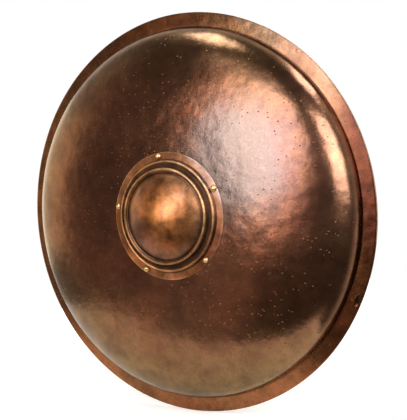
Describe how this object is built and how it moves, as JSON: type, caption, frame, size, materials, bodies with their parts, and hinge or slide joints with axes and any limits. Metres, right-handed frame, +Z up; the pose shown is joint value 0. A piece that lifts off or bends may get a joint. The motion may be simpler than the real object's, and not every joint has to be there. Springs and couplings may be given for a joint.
{
  "type": "round shield",
  "caption": "Round bowl-shaped metal-faced wooden shield with a flat rim and a riveted central boss, worn on the forearm by a lined band and held by a swinging leather grip near the rim.",
  "frame": {"origin": "middle of the forearm's gap inside the arm band, on the shield's axis", "axes": "+Z up, -Y is the way the shield faces, +X is the bearer's left; the forearm lies along X with the hand at -X"},
  "size_m": [0.9, 0.1509, 0.9],
  "materials": {
    "facing_bronze": "antiqued, hammered, dark brown patina",
    "rim_bronze": "antiqued, reddish copper brown",
    "boss_bronze": "spun and polished over a brown patina",
    "rivet_brass": "polished",
    "fitting_bronze": "satin, brown patina",
    "wood": "oiled",
    "lining_leather": "matt",
    "grip_leather": "smooth, worn"
  },
  "bodies": {
    "shield": {"core_plank_upper_1": "wood", "core_plank_upper_2_hand": "wood", "core_plank_upper_2_middle": "wood", "core_plank_upper_2_elbow": "wood", "core_plank_upper_3": "wood", "core_plank_upper_4": "wood", "core_plank_lower_1": "wood", "core_plank_lower_2_hand": "wood", "core_plank_lower_2_middle": "wood", "core_plank_lower_2_elbow": "wood", "core_plank_lower_3": "wood", "core_plank_lower_4": "wood", "facing": "facing_bronze", "rim_cover": "rim_bronze", "boss": "boss_bronze", "boss_rivet_1": "rivet_brass", "rivet_rove_1": "rivet_brass", "boss_rivet_2": "rivet_brass", "rivet_rove_2": "rivet_brass", "boss_rivet_3": "rivet_brass", "rivet_rove_3": "rivet_brass", "boss_rivet_4": "rivet_brass", "rivet_rove_4": "rivet_brass", "boss_rivet_5": "rivet_brass", "rivet_rove_5": "rivet_brass", "arm_band": "fitting_bronze", "arm_band_lining": "lining_leather", "arm_band_rivet_1": "rivet_brass", "arm_band_rivet_2": "rivet_brass", "arm_band_rivet_3": "rivet_brass", "arm_band_rivet_4": "rivet_brass", "arm_band_rivet_5": "rivet_brass", "arm_band_rivet_6": "rivet_brass", "grip_bracket_upper": "fitting_bronze", "grip_bracket_lower": "fitting_bronze", "bracket_nail_1": "rivet_brass", "bracket_nail_2": "rivet_brass", "bracket_nail_3": "rivet_brass", "bracket_nail_4": "rivet_brass"},
    "grip": {"hand_grip": "grip_leather", "grip_ring_upper": "fitting_bronze", "grip_ring_lower": "fitting_bronze", "grip_rivet_1": "rivet_brass", "grip_rivet_2": "rivet_brass"}
  },
  "joints": [
    {"name": "grip_swing", "type": "hinge", "parent": "shield", "child": "grip", "pos_m": [-0.34557, 0.00454, 0], "axis": [0, 0, 1], "range_deg": [-88, 88]}
  ]
}
